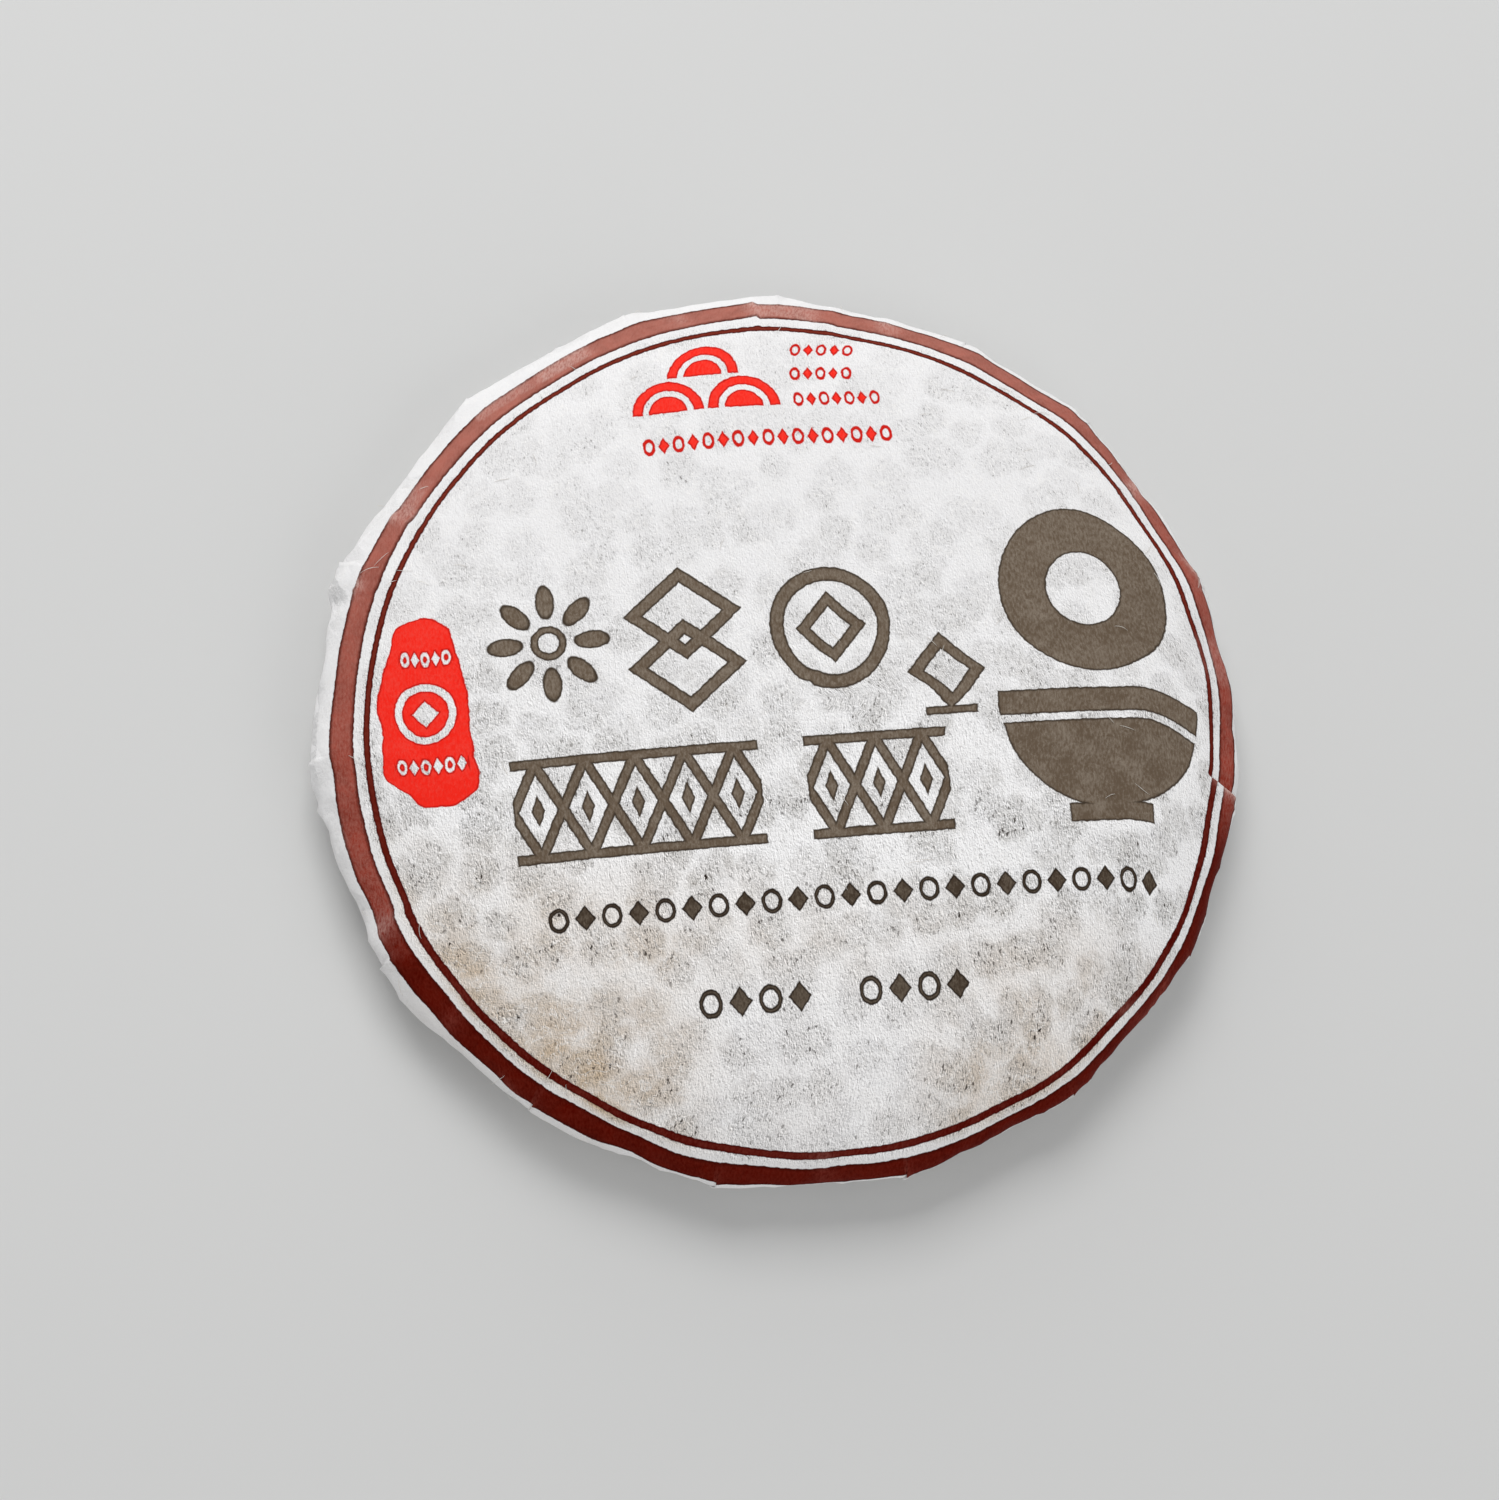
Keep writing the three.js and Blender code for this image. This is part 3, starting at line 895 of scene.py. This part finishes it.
def tissue_sheet(sheet):
    """The unprinted paper, worked out from the map of the flat sheet in millimetres: its colour,
    its grain, clouds and long fibres, and how much its fibres stand out. The scale of a noise is 1
    over the size of its marks in millimetres."""
    zone = sheet_zones(sheet)
    warp = sideways_noise(sheet, 0.5, Detail=4, Roughness=0.62)
    reach, spot, shade, wisp = thin_spots(sheet, warp, zone)

    # Clouds where the pulp settled, and a speckle of fine grain.
    cloud = add("TexNoise", {"Vector": sheet, "Scale": 0.3, "Detail": 5, "Roughness": 0.62})
    most = add("MapRange", (zone.lower, 0.3, 1, 0.8, 1))
    least = add("MapRange", (zone.lower, 0.3, 1, 0.6, 0))
    least_clear = add("Math MULTIPLY", (zone.clear, 0.6))
    least = add("Math MAXIMUM", (least, least_clear))
    cloud = add("MapRange", (cloud, 0.32, 0.68, least, most))
    cloud = add("Math MAXIMUM", (cloud, zone.whiter))
    stretched = add("VectorMath MULTIPLY", (sheet, (4.2, 1.7, 1)))
    grain = add("TexNoise", {"Vector": stretched, "Scale": 0.9, "Detail": 2, "Roughness": 0.7})
    speckle = add("MapRange", (grain, 0.54, 0.64, 0, 1))
    share = add("Math MULTIPLY", (zone.touching, 0.08))
    share = add("Math MULTIPLY_ADD", (shade, 0.58, share))
    speckle = add("Math MULTIPLY", (speckle, share))
    bark = bark_bits(stretched, warp, grain, spot, shade, zone)

    # Between the spots runs a net of thicker, whiter paper.
    fill = add("Math MULTIPLY", (shade, 0.36))
    net = add("MapRange", (reach, 0.9, 1.2, 0, 0.85))
    for whiter in (wisp, zone.clear):
        net = add("Math MAXIMUM", (net, whiter))
    whitest = add("MapRange", (zone.lower, 0.3, 1, 0.5, 1))
    net = add("Math MULTIPLY", (net, whitest))

    # The tooth of the felt it dried on, about 0.25 by 0.6 mm, which is twice as coarse as real so
    # that it shows, and stronger in the lower half of the print. Each grain gets painted light on one
    # side and painted shade on the other, as if lit from one side: the noise less the same noise a
    # little aside.
    felt = {"Scale": 1.0, "Detail": 2, "Roughness": 0.75, "Distortion": 1.8}
    tooth = add("TexNoise", {"Vector": stretched, **felt})
    moved = add("VectorMath ADD", (stretched, (0.42, 0.2, 0)))
    beside = add("TexNoise", {"Vector": moved, **felt})
    depth = add("MapRange", (zone.lower, 0.3, 1, 0.5, 1.5))
    depth = add("Math MULTIPLY", (depth, zone.touching))
    depth = add("Math MULTIPLY_ADD", (shade, 1.4, depth))
    painted_grain_shading = add("Math SUBTRACT", (tooth, beside))
    painted_grain_shading = add("Math MULTIPLY_ADD", (painted_grain_shading, depth, 1))

    # Long fibres run as fine pale lines.
    hair = from_middle(sheet, 0.4, Detail=3, Distortion=1.3)
    hair = add("MapRange", (hair, 0.02, 0.003, 0, 1))
    pale = add("Math MULTIPLY", (hair, 0.5))
    # Warm brown near the foot: tea dust together with painted warm bounce light.
    dust_and_painted_bounce = dust_and_bounce_light(sheet, reach, zone)

    paper = add("Mix", (cloud, "#e2e0de", "#f3f2f3"), **COLOURS)
    for amount, tone in (
        (net, "#faf9f9"), (fill, "#aaa7a3"), (dust_and_painted_bounce, "#c2a57e"), (speckle, "#625c56"),
        (bark, "#352c26"), (pale, "#f8f6f4"),
    ):
        paper = add("Mix", (amount, paper, tone), **COLOURS)
    paper = add("VectorMath SCALE", (paper, painted_grain_shading))
    fibres = add("TexNoise", {"Vector": stretched, "Scale": 0.6, "Detail": 4, "Roughness": 0.65})
    for part, height in ((hair, 0.3), (tooth, 1.2), (spot, -1.6)):
        fibres = add("Math MULTIPLY_ADD", (part, height, fibres))
    margin = crumpled_margin(sheet, warp, zone)
    fibres = add("Math ADD", (fibres, margin))
    return paper, grain, cloud, hair, fibres


# The flat inks: the colour, the colour where it went on thin and how thin it gets, its darker edge
# and how wide that is, and the colour where it is rubbed.
THIN_RING_INK = ("#8e4438", 0.3, "#4c0d08", 0.26, "#b98075")
RED_INK = ("#ff2c20", "#ff5a4e", 0.4, "#c81a12", 0.26, "#ff8a80")
GREY_INK = ("#68594a", "#94887a", 0.7, "#3f352b", 0.3, "#b8b0a5")
DARK_INK = ("#483c31", "#7c7062", 0.6, "#2c231c", 0.26, "#8f8478")


def printed_tissue():
    """Long-fibre mulberry tissue, wet laid on a screen and dried, printed in flat inks. It is matt
    and cloudy, and its loose fibres mirror almost nothing. The maroon is the heaviest ink, so it is
    the smoothest. Its colour holds a painted sheen, paler towards the top of the print, and painted
    shade, darker towards the foot. The grey-brown lets the fibres show. All inks are darker along
    their edges, and they are rubbed pale on the folds."""
    material, tree = empty_material("printed_mulberry_tissue")
    sheet = add("UVMap", tree=tree, uv_map="flat_sheet_mm")
    colour, grain, cloud, hair, fibres = tissue_sheet(sheet)

    # Ink runs along loose fibres, so its edges waver by a tenth of a millimetre.
    waver = sideways_noise(sheet, 1.6, Detail=2)
    point = add("VectorMath MULTIPLY_ADD", (waver, (0.3, 0.3, 0), sheet))
    worn = add("Attribute", tree=tree, attribute_name="worn", out="Fac")
    rubbed = add("MapRange", (grain, 0.35, 0.6, 0.2, 1))
    rubbed = add("Math MULTIPLY", (rubbed, worn))

    # The rings get darker down the print, the broad one in two steps, a little askew. This is painted
    # shade towards the foot and a painted sheen towards the top, put into the ink's colour. The thin
    # ring also widens a little down the print.
    up = add("VectorMath DOT_PRODUCT", (sheet, (-0.12, 1, 0)))
    upper = add("MapRange", (up, -18, 44, 0, 1))
    foot = add("MapRange", (up, -12, -20, 0, 1))
    painted_shade_and_width = add("MapRange", (up, 30, -30, 0, 1))
    maroon = add("Mix", (upper, "#8e2411", "#ab675a"), **COLOURS)
    maroon = add("Mix", (foot, maroon, "#590a01"), **COLOURS)
    # Painted shade on the thin ring: its colour gets darker down the print.
    deep = add("Mix", (painted_shade_and_width, "#762a1d", "#560b04"), **COLOURS)
    # The broad ring's thin and rubbed colours get darker copies at the foot, as painted shade.
    scuffed = add("Mix", (foot, "#ba7d70", "#7a2a1e"), **COLOURS)
    rubbed_maroon = add("Mix", (foot, "#e0bcb2", "#8c4238"), **COLOURS)

    # The maroon varies in patches and streaks a few millimetres long: partly ink laid on unevenly,
    # partly a painted sheen of soft glints.
    streaks = add("TexNoise", {"Vector": sheet, "Scale": 0.4, "Detail": 3, "Distortion": 0.8})
    streaks = add("MapRange", (streaks, 0.35, 0.65, 0.86, 1.14))
    maroon = add("VectorMath SCALE", (maroon, streaks))
    broad = border(point, *BROAD_RING)
    thin = border(point, *THIN_RING)
    thin = add("Math MULTIPLY_ADD", (painted_shade_and_width, -0.13, thin))
    cover = add("Math MULTIPLY_ADD", (cloud, 0.3, grain))
    cover = add("Math MULTIPLY_ADD", (hair, 0.12, cover))
    inked = 0
    for distance, ink, thin_ink, thin_most, edge_ink, edge_width, rubbed_ink in (
        (broad, maroon, scuffed, 0.45, "#450d06", 0.5, rubbed_maroon),
        (thin, deep, *THIN_RING_INK),
        (red_print(point), *RED_INK),
        (grey_print(point), *GREY_INK),
        (dark_print(point), *DARK_INK),
    ):
        mask = add("MapRange", (distance, 0.05, -0.05, 0, 1))
        edge = add("MapRange", (distance, -edge_width, -0.12, 0, 0.9))
        thinned = add("MapRange", (cover, 0.56, 0.9, 0, thin_most))
        tone = ink
        for amount, other in ((thinned, thin_ink), (edge, edge_ink), (rubbed, rubbed_ink)):
            tone = add("Mix", (amount, tone, other), **COLOURS)
        colour = add("Mix", (mask, colour, tone), **COLOURS)
        inked = add("Math MAXIMUM", (inked, mask))

    bump = add("Bump", {"Strength": 0.5, "Distance": 0.06 * MM, "Height": fibres})
    rough = add("MapRange", (inked, 0, 1, 0.88, 0.6))
    rough = add("MapRange", (broad, 0.05, -0.05, rough, 0.5))
    shader = add("BsdfPrincipled", {
        "Base Color": colour, "Roughness": rough, "Normal": bump, "IOR": 1.5,
        "Specular IOR Level": 0.01,
    })
    add("OutputMaterial", {"Surface": shader})
    return material


def stray_fibre_material():
    """A single bleached mulberry fibre that came loose as the sheet dried. It is soft and matt, and
    a little paler or yellower along its length."""
    material, tree = empty_material("loose_mulberry_fibre")
    place = add("TexCoord", tree=tree, out="Object")
    tone = add("TexNoise", {"Vector": place, "Scale": 900, "Detail": 2})
    colour = add("Mix", (tone, "#d9d3ca", "#f4f1ec"), **COLOURS)
    shader = add("BsdfPrincipled", {"Base Color": colour, "Roughness": 0.7})
    add("OutputMaterial", {"Surface": shader})
    return material


# Loose fibres: how many start on the edge and on the face and between which rows, and for each of
# them the steps along it, the sides of its tube and its half-thickness. That is two or
# three times as thick as a real one, so that it shows.
FIBRES = ((55, 62, 150), (35, 8, 100))
FIBRE_STEPS = 9
FIBRE_SIDES = 3
FIBRE_RADIUS = 0.035


def make_fibres(points, material):
    """Loose fibres that lift off the paper. Each is a thin three-sided tube along an arc: it starts
    in the surface, rises along a parabola and bends sideways, and its ends come to a point."""
    draw = np.random.default_rng(23)
    rows, columns = points.shape[:2]
    row = np.concatenate([draw.integers(first, last, number) for number, first, last in FIBRES])
    count, steps, sides = len(row), FIBRE_STEPS, FIBRE_SIDES
    column = draw.integers(0, columns, count)
    start = points[row, column]
    outward = np.cross(
        points[row, (column + 2) % columns] - start,
        points[np.maximum(row - 2, 0), column] - start,
    )
    outward /= np.maximum(np.linalg.norm(outward, axis=1, keepdims=True), 1e-6)
    along = np.cross(outward, draw.normal(size=(count, 3)))
    along /= np.linalg.norm(along, axis=1, keepdims=True)
    across = np.cross(outward, along)
    t = np.linspace(0, 1, steps)[None, :, None]
    reach = draw.uniform(0.8, 2.6, (count, 1, 1))
    lift = draw.uniform(0.1, 0.3, (count, 1, 1))
    bend = draw.uniform(-0.7, 0.7, (count, 1, 1))
    path = (
        start[:, None] + along[:, None] * reach * t + across[:, None] * bend * t ** 2
        + outward[:, None] * (4 * lift * t * (1 - t) - 0.03)
    )
    ring = np.arange(sides) * 2 * np.pi / sides
    thick = FIBRE_RADIUS * np.sin(np.pi * np.clip(t, 0.06, 0.94)) ** 0.5
    around = (
        across[:, None, None] * np.cos(ring)[:, None] + outward[:, None, None] * np.sin(ring)[:, None]
    ) * thick[..., None]
    tube = (path[:, :, None] + around).reshape(-1, 3)
    tube[:, 2] = np.maximum(tube[:, 2], 0.01)
    base = np.arange(count)[:, None, None] * steps * sides
    step = np.arange(steps - 1)[:, None]
    side = np.arange(sides)[None, :]
    here = step * sides + side
    beside = step * sides + (side + 1) % sides
    quad = np.stack([here, beside, beside + sides, here + sides], axis=-1).reshape(1, -1, 4)
    caps = np.array([np.arange(sides)[::-1], np.arange(sides) + (steps - 1) * sides])[None]
    faces = (quad + base).reshape(-1, 4).tolist() + (caps + base).reshape(-1, 3).tolist()
    return mesh_object("stray_fibres", tube, faces, material)


# The studio: half the floor's width in millimetres, the lights by name, degrees round the cake and
# above the floor, distance and size in metres and power in watts, and the sky.
FLOOR_HALF = 1500
LIGHTS = (
    ("key_light", 98, 54, 0.9, 0.5, 4.05),
    ("rim_light", 96, 14, 0.9, 0.7, 1.9),
    ("side_light", 190, 30, 1.1, 0.7, 0.75),
    ("fill_light", 304, 35, 1.1, 0.9, 2.9),
)
SKY_COLOUR = "#f4f5f6"
SKY_STRENGTH = 0.38

# The camera, as solved from the photo's outline and printed rings: the photo's width and focal
# length in pixels, the sensor's width, the camera's place from the middle of the face, and the
# directions of its right and back.
PHOTO_WIDTH = 1499
FOCAL_PIXELS = 3690
SENSOR_WIDTH = 36
CAMERA_PLACE = (-55.43, -118.11, 392.29)
CAMERA_RIGHT = (0.98950, -0.10802, 0.09603)
CAMERA_BACK = (-0.12253, -0.27449, 0.95375)


def make_floor():
    """A plain pale studio floor, matt board painted white."""
    material, tree = empty_material("white_studio_board")
    shader = add("BsdfPrincipled", {"Base Color": "#d9d9d8", "Roughness": 0.9}, tree=tree)
    add("OutputMaterial", {"Surface": shader})
    half = FLOOR_HALF
    corners = np.array([(-half, -half, 0), (half, -half, 0), (half, half, 0), (-half, half, 0)])
    return mesh_object("studio_floor", corners, [(0, 1, 2, 3)], material)


def soft_light(name, azimuth, elevation, distance, size, power):
    """A square soft box at an angle round the cake from +X and above the floor, facing the cake."""
    lamp = bpy.data.lights.new(name, "AREA")
    lamp.energy, lamp.size = power, size
    light = bpy.data.objects.new(name, lamp)
    around, up = math.radians(azimuth), math.radians(elevation)
    away = Vector((math.cos(around) * math.cos(up), math.sin(around) * math.cos(up), math.sin(up)))
    light.location = away * distance
    light.rotation_mode = "QUATERNION"
    light.rotation_quaternion = away.to_track_quat("Z", "Y")
    bpy.context.scene.collection.objects.link(light)


def make_sky():
    """An even pale studio, whose strength fills the shadows."""
    world = bpy.data.worlds.new("pale_studio")
    bpy.context.scene.world = world
    world.use_nodes = True
    background = world.node_tree.nodes["Background"].inputs
    background["Color"].default_value = linear(SKY_COLOUR)
    background["Strength"].default_value = SKY_STRENGTH


def make_camera(middle):
    """The photograph's view, from a place over the middle of the face and the print's axes."""
    data = bpy.data.cameras.new("photo_camera")
    data.sensor_fit = "HORIZONTAL"
    data.sensor_width = SENSOR_WIDTH
    data.lens = FOCAL_PIXELS / PHOTO_WIDTH * SENSOR_WIDTH
    data.clip_start, data.clip_end = 0.01, 20
    camera = bpy.data.objects.new("photo_camera", data)
    place = np.array(CAMERA_PLACE)
    place[2] += THICKNESS
    place[:2] -= middle
    right, back = Vector(CAMERA_RIGHT), Vector(CAMERA_BACK).normalized()
    right = (right - right.dot(back) * back).normalized()
    turn = Matrix((right, back.cross(right), back)).transposed()
    camera.matrix_world = Matrix.Translation(Vector(place * MM)) @ turn.to_4x4()
    bpy.context.scene.collection.objects.link(camera)
    bpy.context.scene.camera = camera


tissue = printed_tissue()
wrapper, surface, middle = make_wrapper(tissue)
fibres = make_fibres(surface, stray_fibre_material())
for piece in (wrapper, fibres):
    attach(piece, BODY)
    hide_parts(NODE)
make_floor()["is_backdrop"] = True

for light in LIGHTS:
    soft_light(*light)
make_sky()
bpy.context.scene.view_settings.view_transform = "Standard"
make_camera(middle)

boxes = {"cad": CAD_BOX, "visual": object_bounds()}
{name: [list(corner) for corner in box] for name, box in boxes.items()}
